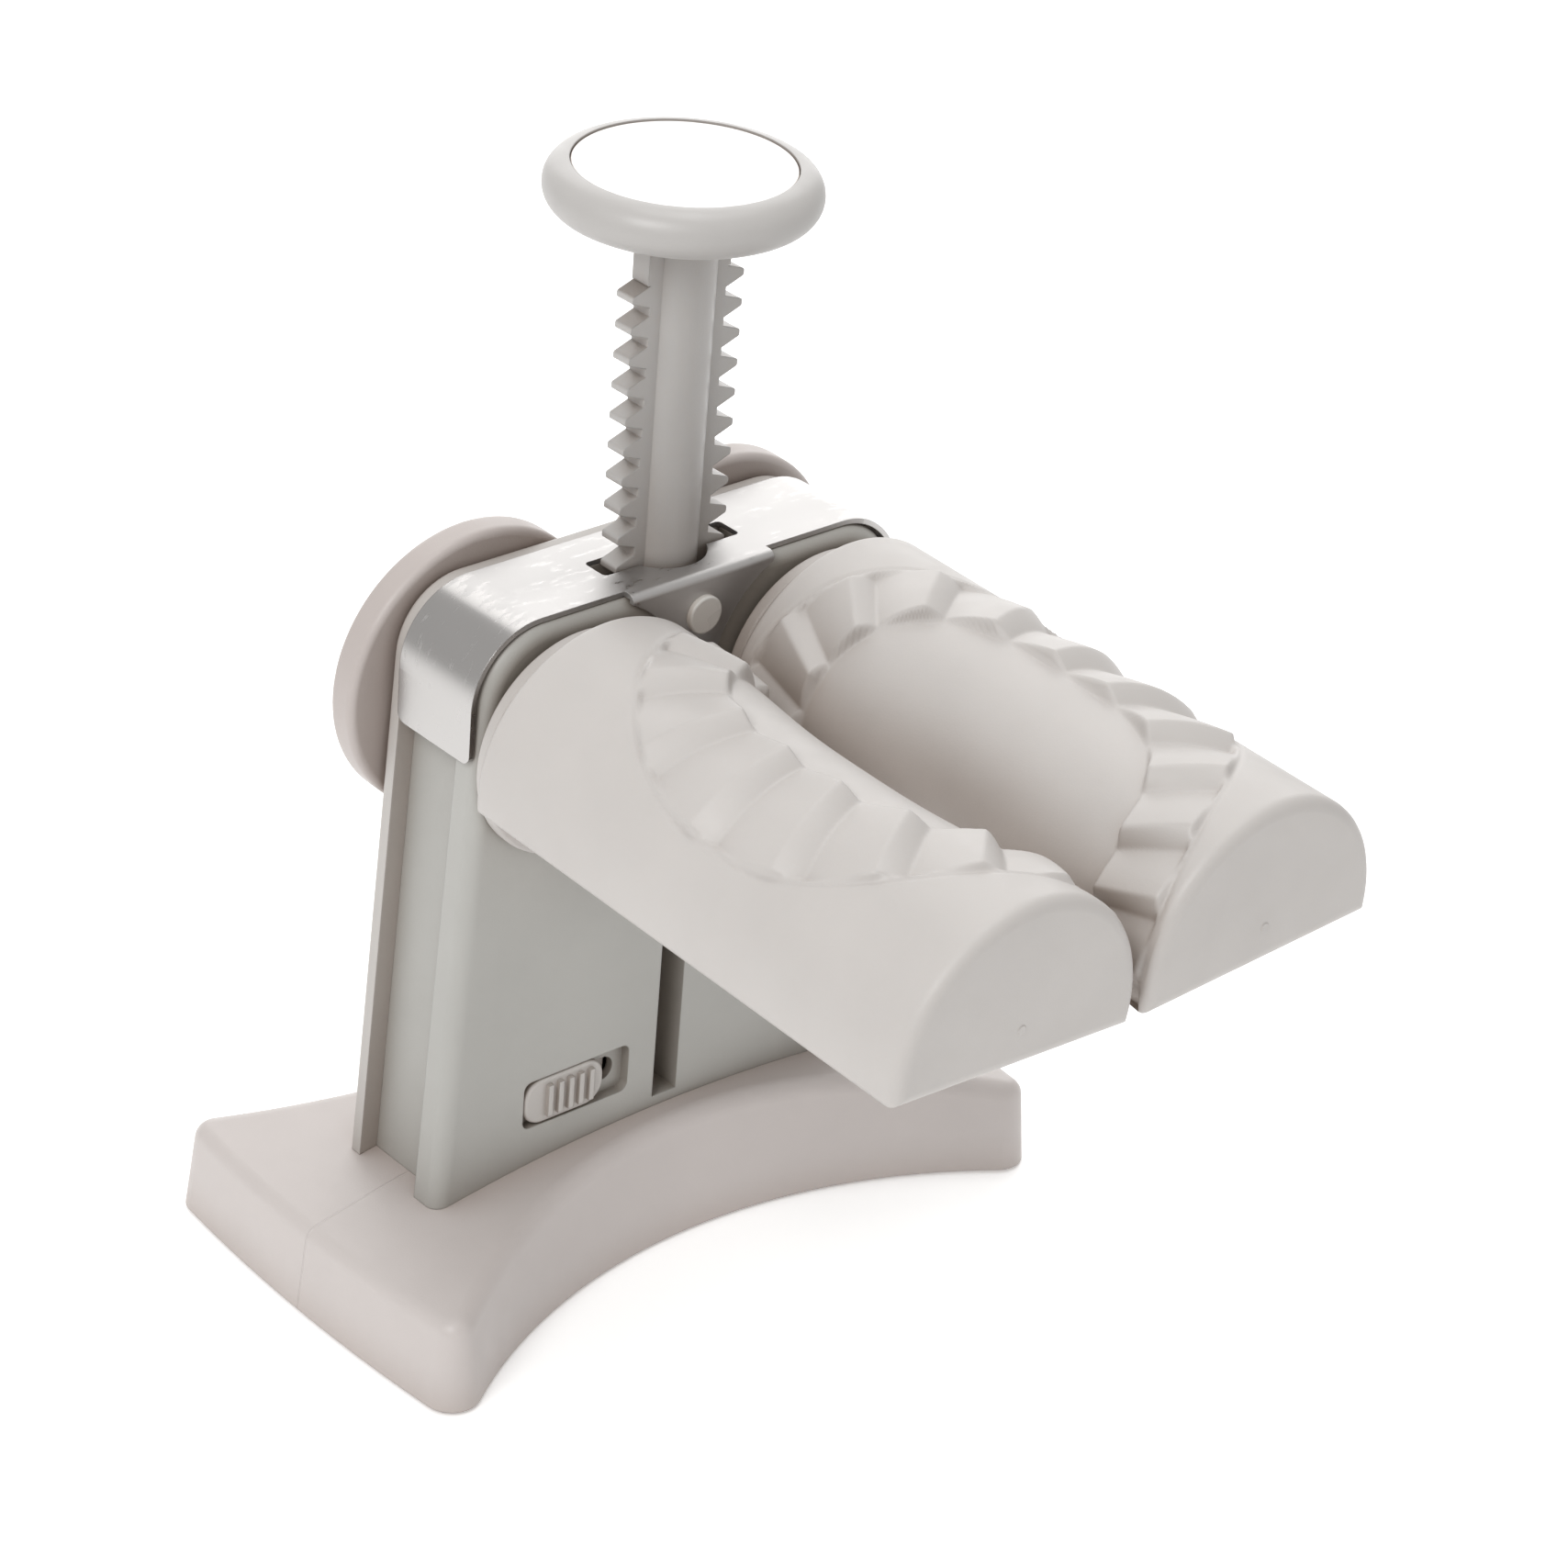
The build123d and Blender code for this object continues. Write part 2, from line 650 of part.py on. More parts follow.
def bush(flange_y, sleeve_y):
    """Flanged plastic bush: the flange from flange_y[0] to [1] and the sleeve likewise."""
    with BuildPart(mode=Mode.PRIVATE) as piece:
        for (y0, y1), r in ((flange_y, 7.4), (sleeve_y, 4.98)):
            with BuildSketch(across_roller(y0)):
                with Locations((roller_x, roller_z)):
                    Circle(r)
            extrude(amount=y0 - y1)
        with BuildSketch(across_roller(min(flange_y[0], sleeve_y[0]))):
            with Locations((roller_x, roller_z)):
                Circle(shaft_r + 0.06)
        extrude(amount=min(flange_y[0], sleeve_y[0]) - max(flange_y[1], sleeve_y[1]), mode=Mode.SUBTRACT)
    return piece


inner_face_y = front_y + plate_t
flange_gap = 0.25               # leaves the flanges clear of the walls that they lean over
finish_pair(bush((inner_face_y + flange_gap, inner_face_y + 1.6), (front_y, inner_face_y + flange_gap)),
            "front_bush")
finish_pair(bush((cover_y - 1.6, cover_y - flange_gap), (cover_y - flange_gap, back_y)), "rear_bush")

# --- drive rings between the housing and the moulds ------------------------------------------
ring_y = (-12.7, -10.4)
with BuildPart() as drive_ring:
    with BuildSketch(across_roller(ring_y[0])):
        with Locations((roller_x, roller_z)):
            Circle(17.8)
    extrude(amount=ring_y[0] - ring_y[1])
    fillet(drive_ring.edges(), 0.5)
    with BuildSketch(across_roller(mould_y[1])):
        with Locations((roller_x, roller_z)):
            Circle(11)
    extrude(amount=mould_y[1] - ring_y[0])
    # the hub stays inside the flat of the mould
    with BuildSketch(across_roller(mould_y[1])):
        with Locations((roller_x, roller_z)):
            Circle(shaft_r)
    extrude(amount=mould_y[1] - ring_y[1], mode=Mode.SUBTRACT)
finish_pair(drive_ring, "drive_ring")

# --- rear discs and their screws ---------------------------------------------------------------
disc_y = (12.7, 17.9)
disc_seat_y = 16.1
with BuildPart() as rear_disc:
    with BuildSketch(across_roller(disc_y[0])):
        with Locations((roller_x, roller_z)):
            Circle(22.7)
    extrude(amount=disc_y[0] - disc_y[1])
    fillet(rear_disc.edges(), 1.2)
    with BuildSketch(across_roller(disc_y[0])):
        with Locations((roller_x, roller_z)):
            Circle(shaft_r)
    extrude(amount=disc_y[0] - shaft_y[1], mode=Mode.SUBTRACT)
    with BuildSketch(across_roller(disc_y[0])):
        with Locations((roller_x, roller_z)):
            Circle(1.4)
    extrude(amount=disc_y[0] - disc_y[1], mode=Mode.SUBTRACT)
    with BuildSketch(across_roller(disc_seat_y)):
        with Locations((roller_x, roller_z)):
            Circle(3.6)
    extrude(amount=disc_seat_y - disc_y[1], mode=Mode.SUBTRACT)
finish_pair(rear_disc, "rear_disc")

with BuildPart() as disc_screw:
    with BuildSketch(across_roller(disc_seat_y)):
        with Locations((roller_x, roller_z)):
            Circle(3.2)
            SlotCenterToCenter(3.0, 0.8, mode=Mode.SUBTRACT)
    extrude(amount=-1.4)
    with BuildSketch(across_roller(disc_seat_y + 0.6)):
        with Locations((roller_x, roller_z)):
            Circle(1.2)
    extrude(amount=9.5)
finish_pair(disc_screw, "disc_screw")

# --- moulds: half-round rollers with a bowl and a fan of pleats ---------------------------------
# The right mould's nip line faces -X.  The fan opens from that line, upwards and outwards.
outer_reach, outer_half = 39.7, 42.0
inner_reach, inner_half = 24.5, 30.5
pleat_count = 13
pleat_w = 3.4
bowl_tilt = 40.0
bowl_r = 45.0
bowl_depth_r = 15.3
bowl_half = 57.9

with BuildPart() as pleats:
    with BuildSketch(Plane.YZ):
        for i in range(pleat_count):
            with Locations(Location((mould_mid_y, 0, 0), (0, 0, 12 + 156 * i / (pleat_count - 1)))):
                with Locations((30, 0)):
                    Rectangle(60, pleat_w)
    extrude(amount=crest_r + 1, both=True)
    with BuildSketch(at_y(mould_y[0])):
        Circle(crest_r)
        Circle(mould_r - 1.5, mode=Mode.SUBTRACT)
    extrude(amount=mould_y[0] - mould_y[1], mode=Mode.INTERSECT)
    with BuildSketch(Plane.XY):
        with Locations((-mould_r, mould_mid_y)):
            Ellipse(outer_reach, outer_half)
            Ellipse(inner_reach, inner_half, mode=Mode.SUBTRACT)
        with Locations((-mould_r - 20, mould_mid_y)):
            Rectangle(30, 100, mode=Mode.SUBTRACT)
    extrude(amount=crest_r + 1, mode=Mode.INTERSECT)

with BuildPart() as bowl:
    tilt = math.radians(180 - bowl_tilt)
    reach = bowl_depth_r + bowl_r
    centre = (reach * math.cos(tilt), mould_mid_y, reach * math.sin(tilt))
    with BuildSketch(Plane(origin=centre, x_dir=(1, 0, 0), z_dir=(0, 0, 1))):
        Ellipse(bowl_r, bowl_half)
        with Locations((-bowl_r / 2, 0)):
            Rectangle(bowl_r, 2 * bowl_half, mode=Mode.SUBTRACT)
    revolve(axis=Axis(centre, (0, 1, 0)))

plate_half, plate_y, plate_t_mould = 12.0, (-99.4, -40.0), 1.8
placed = droop * Location((roller_x, 0, roller_z), (0, -mould_roll, 0))

with BuildPart() as mould_local:
    with BuildSketch(at_y(mould_y[0])):
        Circle(mould_r)
        with Locations((0, -flat_below - 20)):
            Rectangle(60, 40, mode=Mode.SUBTRACT)
    extrude(amount=mould_y[0] - mould_y[1])
    fillet(mould_local.faces().sort_by(Axis.Y)[0].edges(), 1.6)
    add(pleats.part)
    add(bowl.part, mode=Mode.SUBTRACT)
    with BuildSketch(Plane.XY.offset(-flat_below)):
        with Locations((0, sum(plate_y) / 2)):
            RectangleRounded(2 * plate_half, plate_y[1] - plate_y[0], 3)
    extrude(amount=9, mode=Mode.SUBTRACT)
    with BuildSketch(at_y(mould_y[1])):
        Circle(shaft_r)
    extrude(amount=mould_y[1] - shaft_y[0], mode=Mode.SUBTRACT)

with BuildPart() as mould:
    add(mould_local.part.moved(placed))
finish_pair(mould, "mould")

with BuildPart() as mould_plate_local:
    with BuildSketch(Plane.XY.offset(-flat_below)):
        with Locations((0, sum(plate_y) / 2)):
            RectangleRounded(2 * plate_half - 0.2, plate_y[1] - plate_y[0] - 0.2, 2.9)
    extrude(amount=plate_t_mould)

with BuildPart() as mould_plate:
    add(mould_plate_local.part.moved(placed))
finish_pair(mould_plate, "mould_plate")

# --- travel lock: thumb button, inner plate with its tongue, and guide ---------------------------
button_x = (-27.7, -12.5)
stem_x = (lock_slot_x[0] + 0.1, lock_slot_x[1] - 0.1 - 4.5)

with BuildPart() as lock_button:
    with BuildSketch(at_y(-8.0)):
        with Locations((sum(button_x) / 2, lock_z)):
            RectangleRounded(button_x[1] - button_x[0], 7.9, 3.5)
    extrude(amount=1.8)
    fillet(lock_button.faces().sort_by(Axis.Y)[0].edges(), 0.6)
    with BuildSketch(at_y(-9.8)):
        with Locations(*[(-23.2 + 1.98 * i, lock_z) for i in range(5)]):
            Rectangle(0.9, 5.5)
    extrude(amount=0.7)
    with BuildSketch(at_y(-8.0)):
        with Locations((sum(stem_x) / 2, lock_z)):
            SlotOverall(stem_x[1] - stem_x[0], 3.9)
    extrude(amount=-1.6)
finish(lock_button, "lock_button")

with BuildPart() as lock_plate:
    with BuildSketch(at_y(-6.4)):
        with Locations((-19.5, lock_z)):
            Rectangle(19, 7.4)
    extrude(amount=-1.5)
    with BuildSketch(at_y(-4.9)):
        with Locations((-13.15, lock_z)):
            Rectangle(3.7, 2.5)
    extrude(amount=-5.5)
finish(lock_plate, "lock_plate")

with BuildPart() as lock_guide:
    with BuildSketch(at_y(-4.7)):
        with Locations((-25, lock_z)):
            Rectangle(16, 11)
    extrude(amount=-1)
    with BuildSketch(at_y(inner_face_y)):
        with Locations((-25, lock_z - 4.75), (-25, lock_z + 4.75)):
            Rectangle(16, 1.5)
    extrude(amount=inner_face_y + 4.7)
finish(lock_guide, "lock_guide")
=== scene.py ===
import json
import math

import bmesh
import bpy
from mathutils import Matrix, Vector


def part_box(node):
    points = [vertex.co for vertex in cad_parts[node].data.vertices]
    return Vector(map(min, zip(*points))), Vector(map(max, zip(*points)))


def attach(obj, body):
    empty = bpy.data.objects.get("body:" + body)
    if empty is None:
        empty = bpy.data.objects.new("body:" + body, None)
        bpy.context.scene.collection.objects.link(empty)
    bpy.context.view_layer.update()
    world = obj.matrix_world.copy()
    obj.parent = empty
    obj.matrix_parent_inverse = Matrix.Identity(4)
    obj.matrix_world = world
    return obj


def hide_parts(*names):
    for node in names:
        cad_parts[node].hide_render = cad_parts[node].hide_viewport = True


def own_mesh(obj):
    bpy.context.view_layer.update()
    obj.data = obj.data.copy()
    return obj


# Hand press for dumpling wrappers, dressed on its CAD frame.  Metres; X right, -Y front.
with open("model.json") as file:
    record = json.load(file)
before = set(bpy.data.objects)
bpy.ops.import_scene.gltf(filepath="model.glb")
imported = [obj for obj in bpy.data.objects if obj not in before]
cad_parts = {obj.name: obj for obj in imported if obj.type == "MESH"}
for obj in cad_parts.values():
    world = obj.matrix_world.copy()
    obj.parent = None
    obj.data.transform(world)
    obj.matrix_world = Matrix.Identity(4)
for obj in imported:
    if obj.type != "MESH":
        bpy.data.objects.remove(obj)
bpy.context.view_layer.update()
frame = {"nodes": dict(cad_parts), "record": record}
nodes = frame["nodes"]

# --- camera -----------------------------------------------------------------------------
# A long lens looks down from the front left, rolled a little, so that the press leans.
camera_place = Vector((-0.40305, -0.45806, 0.41929))
azimuth, elevation, roll = (math.radians(a) for a in (-43.330, 29.463, 4.893))
back = Vector((math.sin(azimuth) * math.cos(elevation), -math.cos(azimuth) * math.cos(elevation),
               math.sin(elevation)))
level = Vector((math.cos(azimuth), math.sin(azimuth), 0))
upright = back.cross(level)
side = level * math.cos(roll) + upright * math.sin(roll)
top = upright * math.cos(roll) - level * math.sin(roll)
lens = bpy.data.cameras.new("studio_camera")
lens.lens, lens.sensor_width = 107.14, 36.0
lens.clip_start, lens.clip_end = 0.02, 20.0
camera = bpy.data.objects.new("studio_camera", lens)
camera.matrix_world = Matrix.Translation(camera_place) @ Matrix((side, top, back)).transposed().to_4x4()
bpy.context.scene.collection.objects.link(camera)
bpy.context.scene.camera = camera

# --- studio: white table, pale walls of light -------------------------------------------
# A white sheet under the press, a broad key from the upper left and weak fills.
floor_mesh = bpy.data.meshes.new("table_sheet")
bm = bmesh.new()
bmesh.ops.create_grid(bm, x_segments=1, y_segments=1, size=9.0)
bm.to_mesh(floor_mesh)
bm.free()
floor = bpy.data.objects.new("table_sheet", floor_mesh)
bpy.context.scene.collection.objects.link(floor)
sheet_paint = bpy.data.materials.new("white_sheet")
sheet_paint.use_nodes = True
sheet_shader = sheet_paint.node_tree.nodes["Principled BSDF"]
sheet_shader.inputs["Base Color"].default_value = (0.93, 0.93, 0.93, 1)
sheet_shader.inputs["Roughness"].default_value = 0.9
sheet_shader.inputs["Emission Color"].default_value = (1, 1, 1, 1)
sheet_shader.inputs["Emission Strength"].default_value = 0.27
floor_mesh.materials.append(sheet_paint)

world = bpy.data.worlds.new("studio_walls")
world.use_nodes = True
world.node_tree.nodes["Background"].inputs["Color"].default_value = (1.0, 0.995, 0.985, 1)
world.node_tree.nodes["Background"].inputs["Strength"].default_value = 0.64
bpy.context.scene.world = world
bpy.context.scene.view_settings.view_transform = "Standard"


def soft_box(name, place, aim, size, watts, tint=(1, 1, 1)):
    """A square soft box at place, turned towards aim."""
    lamp = bpy.data.lights.new(name, "AREA")
    lamp.shape, lamp.size, lamp.energy, lamp.color = "SQUARE", size, watts, tint
    holder = bpy.data.objects.new(name, lamp)
    holder.matrix_world = (Matrix.Translation(place)
                           @ (Vector(aim) - Vector(place)).to_track_quat("-Z", "Y").to_matrix().to_4x4())
    bpy.context.scene.collection.objects.link(holder)


soft_box("key_box", (-0.58, -0.22, 0.66), (0, -0.03, 0.08), 0.34, 3.0)
soft_box("top_box", (0.10, 0.05, 0.95), (0, -0.03, 0.08), 0.50, 2.5)
soft_box("back_box", (0.46, 0.56, 0.46), (0, 0, 0.11), 0.90, 3.9)

# --- moulded plastic --------------------------------------------------------------------
# Housing, base, moulds and button are injection moulded in one warm pale grey, with a fine
# spark-eroded texture and faint flow marks.  Gaps and corners get painted shade: an AO mask turns their base
# colour warmer and darker.


def remap(tree, source, low, high, out_low, out_high):
    """Map low..high to out_low..out_high; gives the socket of the result."""
    node = tree.nodes.new("ShaderNodeMapRange")
    for key, value in zip(("From Min", "From Max", "To Min", "To Max"), (low, high, out_low, out_high)):
        node.inputs[key].default_value = value
    tree.links.new(source, node.inputs["Value"])
    return node.outputs["Result"]


def noise(tree, vector, scale, detail, rough=0.5):
    """Noise read at this vector; gives the socket of its value."""
    node = tree.nodes.new("ShaderNodeTexNoise")
    for key, value in (("Scale", scale), ("Detail", detail), ("Roughness", rough)):
        node.inputs[key].default_value = value
    tree.links.new(vector, node.inputs["Vector"])
    return node.outputs["Fac"]


def maths(tree, operation, first, second=None, factor=None):
    """Maths node on one or two sockets, with factor as its middle value; gives its socket."""
    node = tree.nodes.new("ShaderNodeMath")
    node.operation = operation
    tree.links.new(first, node.inputs[0])
    if factor is not None:
        node.inputs[1].default_value = factor
    if second is not None:
        tree.links.new(second, node.inputs[2 if factor is not None else 1])
    return node.outputs["Value"]


def moulded_plastic(name, colour, rough=0.42, grain=0.00025, shade=0.04, parting_y=None, glow=0.0,
                    round_edge=0.00035, painted_shade_reach=0.03):
    """Satin plastic: the colour drifts a little and the skin has a fine grain."""
    mat = bpy.data.materials.new(name)
    mat.use_nodes = True
    tree = mat.node_tree
    new, link = tree.nodes.new, tree.links.new
    shader = tree.nodes["Principled BSDF"]
    shader.inputs["IOR"].default_value = 1.48
    shader.inputs["Subsurface Weight"].default_value = glow
    shader.inputs["Subsurface Radius"].default_value = (0.0016, 0.0012, 0.0009)
    place = new("ShaderNodeTexCoord").outputs["Object"]

    cloud = remap(tree, noise(tree, place, 38.0, 4.0, 0.55), 0.3, 0.7, 1.0 - shade, 1.0 + shade / 2)
    tone = new("ShaderNodeVectorMath")
    tone.operation = "SCALE"
    tone.inputs[0].default_value = colour
    link(cloud, tone.inputs["Scale"])
    # painted shade: gaps and corners found by the AO node turn warmer and darker in the base colour
    painted_shade_ao = new("ShaderNodeAmbientOcclusion")
    painted_shade_ao.samples = 8
    painted_shade_ao.inputs["Distance"].default_value = painted_shade_reach
    painted_shade_amount = remap(tree, painted_shade_ao.outputs["AO"], 0.10, 0.85, 0.85, 0.0)
    painted_shade_tint = new("ShaderNodeMixRGB")
    painted_shade_tint.blend_type = "MULTIPLY"
    painted_shade_tint.inputs["Color2"].default_value = (0.60, 0.50, 0.43, 1)
    link(painted_shade_amount, painted_shade_tint.inputs["Fac"])
    link(tone.outputs["Vector"], painted_shade_tint.inputs["Color1"])
    link(painted_shade_tint.outputs["Color"], shader.inputs["Base Color"])

    gloss = remap(tree, noise(tree, place, 160.0, 2.0), 0.3, 0.7, rough - 0.05, rough + 0.06)
    link(gloss, shader.inputs["Roughness"])

    flow = noise(tree, place, 70.0, 3.0)
    height = maths(tree, "MULTIPLY_ADD", flow, noise(tree, place, 1 / grain, 2.0, 0.6), factor=6.0)
    if parting_y is not None:
        # the two mould halves meet in a fine raised line across the piece
        split = new("ShaderNodeSeparateXYZ")
        link(place, split.inputs["Vector"])
        off = maths(tree, "ABSOLUTE", maths(tree, "SUBTRACT", split.outputs["Y"], factor=parting_y))
        height = maths(tree, "ADD", remap(tree, off, 0.00005, 0.00022, 9.0, 0.0), height)
    bump = new("ShaderNodeBump")
    bump.inputs["Strength"].default_value = 0.35
    bump.inputs["Distance"].default_value = 0.00006
    link(height, bump.inputs["Height"])
    soften = new("ShaderNodeBevel")
    soften.samples = 6
    soften.inputs["Radius"].default_value = round_edge
    link(soften.outputs["Normal"], bump.inputs["Normal"])
    link(bump.outputs["Normal"], shader.inputs["Normal"])
    return mat


def dress(piece, mat):
    """Give the piece or CAD node this material in every slot."""
    if not piece.data.materials:
        piece.data.materials.append(mat)
    for place in piece.material_slots:
        place.material = mat


base_plastic = moulded_plastic("base_plastic", (0.500, 0.460, 0.443), parting_y=0.00105, painted_shade_reach=0.012)
# painted shade: the front housing gets a darker, greener copy of the body plastic and a longer reach of
# painted gap shade, for the shade under the moulds
front_plastic_painted_shade = moulded_plastic("front_plastic_painted_shade", (0.372, 0.366, 0.345), painted_shade_reach=0.05)
body_plastic = moulded_plastic("body_plastic", (0.440, 0.417, 0.396))
mould_plastic = moulded_plastic("mould_plastic", (0.468, 0.444, 0.426), rough=0.46, glow=0.03,
                                round_edge=0.00012)
# painted shade: the rear discs get a darker, browner copy of the body plastic for the shade between disc and
# body
disc_plastic_painted_shade = moulded_plastic("disc_plastic_painted_shade", (0.430, 0.385, 0.366))
rack_plastic = moulded_plastic("rack_plastic", (0.400, 0.385, 0.372), rough=0.34, glow=0.20)
button_plastic = moulded_plastic("button_plastic", (0.400, 0.386, 0.374), rough=0.40)
bearing_plastic = moulded_plastic("bearing_plastic", (0.600, 0.590, 0.565), rough=0.30)
dress(nodes["base"], base_plastic)
dress(nodes["base_plate"], base_plastic)
dress(nodes["front_housing"], front_plastic_painted_shade)
for name in ("rear_cover", "lock_button", "lock_guide", "lock_plate", "spring_post"):
    dress(nodes[name], body_plastic)
for name in ("left_rear_disc", "right_rear_disc"):
    dress(nodes[name], disc_plastic_painted_shade)
dress(nodes["plunger_rack"], rack_plastic)
dress(nodes["push_button"], button_plastic)
for name in ("left_pinion", "right_pinion", "left_front_bush", "right_front_bush", "left_rear_bush",
             "right_rear_bush"):
    dress(nodes[name], bearing_plastic)
for name in ("left_mould_plate", "right_mould_plate", "left_drive_ring", "right_drive_ring"):
    dress(nodes[name], mould_plastic)

# --- button inlay -----------------------------------------------------------------------
# A thin white disc snapped into the button's top, smooth and slightly glossy.
inlay_white = moulded_plastic("inlay_white", (0.80, 0.785, 0.77), rough=0.22, grain=0.0006, shade=0.01)
dress(nodes["button_inlay"], inlay_white)

# --- steel strap ------------------------------------------------------------------------
# Thin stainless sheet, bent over both shoulders.  It is ground lengthwise, then wiped, which
# leaves ragged bright patches beside the bends.  The patches are also painted reflection: they crowd the flat
# top and thin out past the start of either bend, so the shoulders are painted darker.
strap_steel = bpy.data.materials.new("strap_steel")
strap_steel.use_nodes = True
tree = strap_steel.node_tree
steel = tree.nodes["Principled BSDF"]
steel.inputs["Metallic"].default_value = 1.0
steel.inputs["Anisotropic"].default_value = 0.4
place = tree.nodes.new("ShaderNodeTexCoord").outputs["Object"]
stretch = tree.nodes.new("ShaderNodeMapping")
stretch.inputs["Scale"].default_value = (90, 5200, 90)
tree.links.new(place, stretch.inputs["Vector"])
scratch = noise(tree, stretch.outputs["Vector"], 1.0, 3.0)
wipe_map = tree.nodes.new("ShaderNodeMapping")
wipe_map.inputs["Scale"].default_value = (260, 900, 260)
tree.links.new(place, wipe_map.inputs["Vector"])
wipe = noise(tree, wipe_map.outputs["Vector"], 1.0, 8.0, 0.65)
# painted reflection: distance from the start of either bend, past which the base colour is painted darker
across = tree.nodes.new("ShaderNodeSeparateXYZ")
tree.links.new(place, across.inputs["Vector"])
painted_shoulder_shade = remap(tree, maths(tree, "ABSOLUTE", across.outputs["X"]), 0.0285, 0.0345, 0.12, -0.16)
wipes_and_painted_reflection = remap(tree, maths(tree, "ADD", wipe, painted_shoulder_shade), 0.45, 0.55, 0.0, 1.0)
steel_tone = tree.nodes.new("ShaderNodeMixRGB")
steel_tone.inputs["Color1"].default_value = (0.47, 0.457, 0.447, 1)
steel_tone.inputs["Color2"].default_value = (0.52, 0.508, 0.50, 1)
tree.links.new(wipes_and_painted_reflection, steel_tone.inputs["Fac"])
tree.links.new(steel_tone.outputs["Color"], steel.inputs["Base Color"])
tree.links.new(remap(tree, wipes_and_painted_reflection, 0.0, 1.0, 0.24, 0.48), steel.inputs["Roughness"])
steel_bump = tree.nodes.new("ShaderNodeBump")
steel_bump.inputs["Strength"].default_value = 0.15
steel_bump.inputs["Distance"].default_value = 0.00001
tree.links.new(scratch, steel_bump.inputs["Height"])
soft_edge = tree.nodes.new("ShaderNodeBevel")
soft_edge.inputs["Radius"].default_value = 0.00015
tree.links.new(soft_edge.outputs["Normal"], steel_bump.inputs["Normal"])
tree.links.new(steel_bump.outputs["Normal"], steel.inputs["Normal"])
dress(nodes["top_strap"], strap_steel)
dress(nodes["strap_peg"], bearing_plastic)

# --- screws, shafts and spring steel ----------------------------------------------------
# Zinc-plated screws and bright drawn shafts, with a fine blotchy bump and a dulled film.
plated = bpy.data.materials.new("plated_steel")
plated.use_nodes = True
tree = plated.node_tree
steel = tree.nodes["Principled BSDF"]
steel.inputs["Metallic"].default_value = 1.0
place = tree.nodes.new("ShaderNodeTexCoord").outputs["Object"]
film = noise(tree, place, 600.0, 4.0)
film_tone = tree.nodes.new("ShaderNodeMixRGB")
film_tone.inputs["Color1"].default_value = (0.42, 0.43, 0.44, 1)
film_tone.inputs["Color2"].default_value = (0.62, 0.62, 0.61, 1)
tree.links.new(film, film_tone.inputs["Fac"])
tree.links.new(film_tone.outputs["Color"], steel.inputs["Base Color"])
tree.links.new(remap(tree, film, 0.3, 0.7, 0.25, 0.45), steel.inputs["Roughness"])
film_bump = tree.nodes.new("ShaderNodeBump")
film_bump.inputs["Strength"].default_value = 0.2
film_bump.inputs["Distance"].default_value = 0.00003
tree.links.new(film, film_bump.inputs["Height"])
tree.links.new(film_bump.outputs["Normal"], steel.inputs["Normal"])
for name in ("base_screws", "housing_screws", "cover_screws", "button_screw", "left_shaft", "right_shaft",
             "left_disc_screw", "right_disc_screw"):
    dress(nodes[name], plated)

# --- rubber feet ------------------------------------------------------------------------
# Soft pads glued under the base plate; matt, with a slightly dusty face.
rubber = moulded_plastic("foot_rubber", (0.30, 0.29, 0.28), rough=0.75, grain=0.0005, shade=0.12)
dress(nodes["anti_slip_feet"], rubber)

# --- return spring ----------------------------------------------------------------------
# A coil of plated wire round the post, from the post's flange up into the plunger's bore.
low, high = (Vector(c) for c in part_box("return_spring"))
wire_r, coil_r, turns, steps = 0.0004, (high.x - low.x) / 2 - 0.0004, 28, 20
bm = bmesh.new()
ring = bmesh.ops.create_circle(bm, segments=8, radius=wire_r)["verts"]
bmesh.ops.rotate(bm, verts=ring, cent=(0, 0, 0), matrix=Matrix.Rotation(math.pi / 2, 3, "X"))
bmesh.ops.translate(bm, verts=ring, vec=(coil_r, 0, low.z + wire_r))
bmesh.ops.spin(bm, geom=bm.verts[:] + bm.edges[:], cent=(0, 0, 0), axis=(0, 0, 1),
               dvec=(0, 0, (high.z - low.z - 2 * wire_r) / (turns * steps)),
               angle=turns * math.tau, steps=turns * steps, use_merge=False)
bmesh.ops.holes_fill(bm, edges=[e for e in bm.edges if e.is_boundary], sides=8)
bmesh.ops.recalc_face_normals(bm, faces=bm.faces[:])
for face in bm.faces:
    face.smooth = True
spring_mesh = bpy.data.meshes.new("spring_coil")
bm.to_mesh(spring_mesh)
bm.free()
spring = bpy.data.objects.new("spring_coil", spring_mesh)
bpy.context.scene.collection.objects.link(spring)
dress(spring, plated)
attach(spring, "frame")
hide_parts("return_spring")
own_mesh(spring)

# --- moulds -----------------------------------------------------------------------------
# Two half-round rollers, moulded in food-grade plastic.  Each has a shallow bowl at the nip
# and a C-shaped fan of waved pleats that crimps the wrapper's edge.
turning = next(j for j in frame["record"]["behaviour"]["joints"] if j["name"] == "right_mould_turn")
axis_x, axis_y, axis_z = turning["pos_m"]
droop = math.asin(-turning["axis"][2])  # the axes fall this much towards the front
front_end, rear_end = -0.1044, -0.0158
barrel_r, crest_r, trough_r, lip_r = 0.0218, 0.02270, 0.0207, 0.0204
flat_drop = 0.00363
bowl_sink = 0.0042
steep_share = 0.30              # each pleat rises over this share and falls over the rest
fan_reach, fan_half = math.radians(145), 0.042
bowl_reach, bowl_half = math.radians(97), 0.0305
fan_power, bowl_power = 2.15, 3.0   # how square the two outlines are
pleats = 12
front_round, rear_round = 0.0019, 0.0005
gate_rise = 0.0025
mid_y = (front_end + rear_end) / 2
flat_angle = math.asin(flat_drop / barrel_r)
roll_angle = math.radians(3.0)
fan_along, fan_across = 0.036, 0.046    # middle line of the fan, laid flat


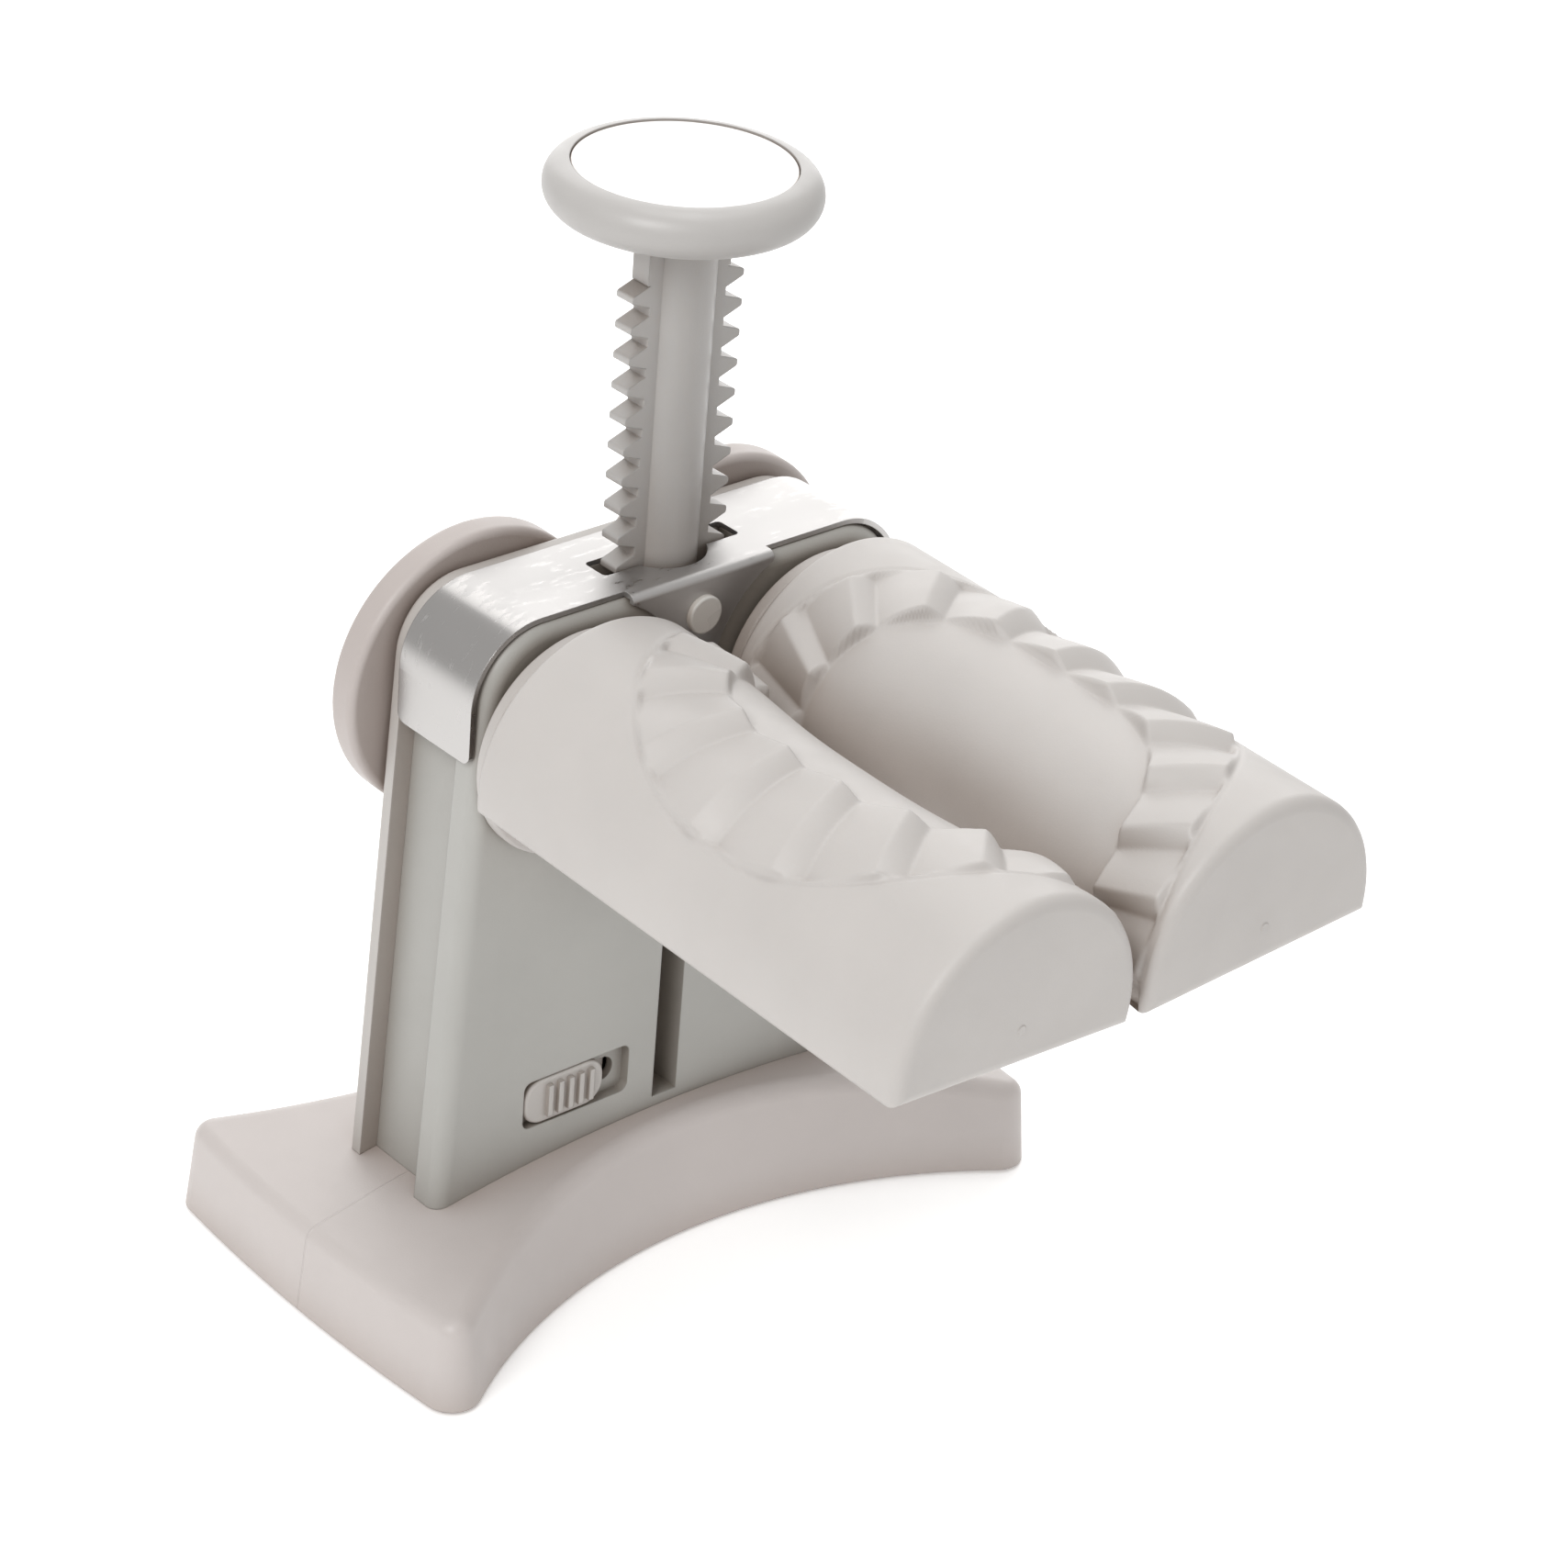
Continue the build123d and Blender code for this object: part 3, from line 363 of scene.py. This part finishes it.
def fan_lengths():
    """Share of the fan's length that lies before each degree round its middle line."""
    marks, total, last = [0.0], 0.0, None
    for degree in range(181):
        a = math.radians(degree)
        here = Vector((fan_along * math.cos(a), fan_across * math.sin(a)))
        if last is not None:
            total += (here - last).length
            marks.append(total)
        last = here
    return [m / total for m in marks]


fan_share = fan_lengths()


def ease(x, low, high):
    """Smooth step from 0 at low to 1 at high."""
    t = min(1.0, max(0.0, (x - low) / (high - low)))
    return t * t * (3 - 2 * t)


def mould_radius(y, turn):
    """Radius of the mould's skin at y, at this angle up from the nip line."""
    run, arc = y - mid_y, max(turn, 0.0)
    fan = ((abs(run) / fan_half) ** fan_power + (arc / fan_reach) ** fan_power) ** (1 / fan_power)
    bowl = ((abs(run) / bowl_half) ** bowl_power + (arc / bowl_reach) ** bowl_power) ** (1 / bowl_power)
    angle = math.degrees(math.atan2(arc / fan_reach * fan_across, -run / fan_half * fan_along))
    angle = min(179.999, max(0.0, angle))
    share = fan_share[int(angle)] + (angle - int(angle)) * (fan_share[int(angle) + 1] - fan_share[int(angle)])
    phase = (share * pleats) % 1.0
    climb = phase / steep_share if phase < steep_share else (1 - phase) / (1 - steep_share)
    wave = 0.7 * climb + 0.3 * math.sin(math.pi / 2 * climb)
    pleat = trough_r + (crest_r - trough_r) * wave
    hollow = lip_r - bowl_sink * (1 - min(bowl, 1.0) ** 1.2) ** 1.4
    skin = hollow + (pleat - hollow) * ease(bowl, 0.988, 1.012)
    groove = 0.00022 * (1 - ease(abs(fan - 1.016), 0.0, 0.010))
    return skin + (barrel_r - groove - skin) * ease(fan, 0.994, 1.008)


plate_half, plate_ends, plate_seat = 0.0121, (-0.0995, -0.0399), 0.0019
flat_half = barrel_r * math.cos(flat_angle)
under_marks = [-flat_half, -plate_half - 0.0001, -plate_half, -0.006, 0, 0.006, plate_half,
               plate_half + 0.0001, flat_half]
around, under = 200, len(under_marks) - 1
edge_steps = [0.0, 0.00012, 0.00040, 0.00080, 0.00130, front_round]
length = rear_end - front_end
middle_count = 236
middle = length - front_round - rear_round
stations = edge_steps + [front_round + middle * i / middle_count for i in range(1, middle_count + 1)]
stations += [length - 0.00015, length]


def mould_point(u, v, hand):
    """Point of the skin: u runs round the section, v along the mould; hand is -1 left, 1 right."""
    along = stations[v]
    tuck = max(0.0, front_round - along)
    inset = front_round - math.sqrt(max(0.0, front_round ** 2 - tuck ** 2))
    tail = max(0.0, rear_round - (length - along))
    inset += rear_round - math.sqrt(max(0.0, rear_round ** 2 - tail ** 2))
    if u <= around:
        turn = -flat_angle + (math.pi + 2 * flat_angle) * u / around
        r = mould_radius(front_end + along, turn) - inset
        x, z = r * math.cos(turn), max(r * math.sin(turn), -flat_drop + inset)
    else:
        x, z = under_marks[u - around], -flat_drop + inset
        if u == around:
            x += inset
        elif u == around + under:
            x = (mould_radius(front_end + along, -flat_angle) - inset) * math.cos(flat_angle)
        elif abs(x) <= plate_half and plate_ends[0] <= front_end + along <= plate_ends[1]:
            z += plate_seat
    x, z = -hand * x, z
    swing = -hand * roll_angle
    return Vector((hand * axis_x + x * math.cos(swing) + z * math.sin(swing), front_end + along,
                   axis_z - x * math.sin(swing) + z * math.cos(swing)))


for label, hand in (("left", -1), ("right", 1)):
    bm = bmesh.new()
    columns, rows = around + under, len(stations) - 1
    bmesh.ops.create_grid(bm, x_segments=columns, y_segments=rows, size=1.0)
    for vert in bm.verts:
        u = round((vert.co.x + 1) / 2 * columns)
        v = round((vert.co.y + 1) / 2 * rows)
        vert.co = mould_point(u, v, hand)
    bmesh.ops.remove_doubles(bm, verts=bm.verts[:], dist=0.000004)
    bmesh.ops.holes_fill(bm, edges=[e for e in bm.edges if e.is_boundary], sides=0)
    # the gate's stub on the end face
    stub = Matrix.Translation((hand * axis_x, front_end, axis_z + gate_rise))
    gate = bmesh.ops.create_cone(bm, cap_ends=True, segments=20, radius1=0.00085, radius2=0.00065,
                                 depth=0.0003, matrix=stub @ Matrix.Rotation(math.pi / 2, 4, "X"))["verts"]
    bmesh.ops.rotate(bm, verts=bm.verts[:], cent=(0, axis_y, axis_z), matrix=Matrix.Rotation(droop, 3, "X"))
    bmesh.ops.recalc_face_normals(bm, faces=bm.faces[:])
    for face in bm.faces:
        face.smooth = len(face.verts) <= 4 and face.verts[0] not in gate
    skin_mesh = bpy.data.meshes.new(f"{label}_pleated_mould")
    bm.to_mesh(skin_mesh)
    bm.free()
    skin = bpy.data.objects.new(f"{label}_pleated_mould", skin_mesh)
    bpy.context.scene.collection.objects.link(skin)
    dress(skin, mould_plastic)
    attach(skin, f"{label}_roller")
    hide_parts(f"{label}_mould")
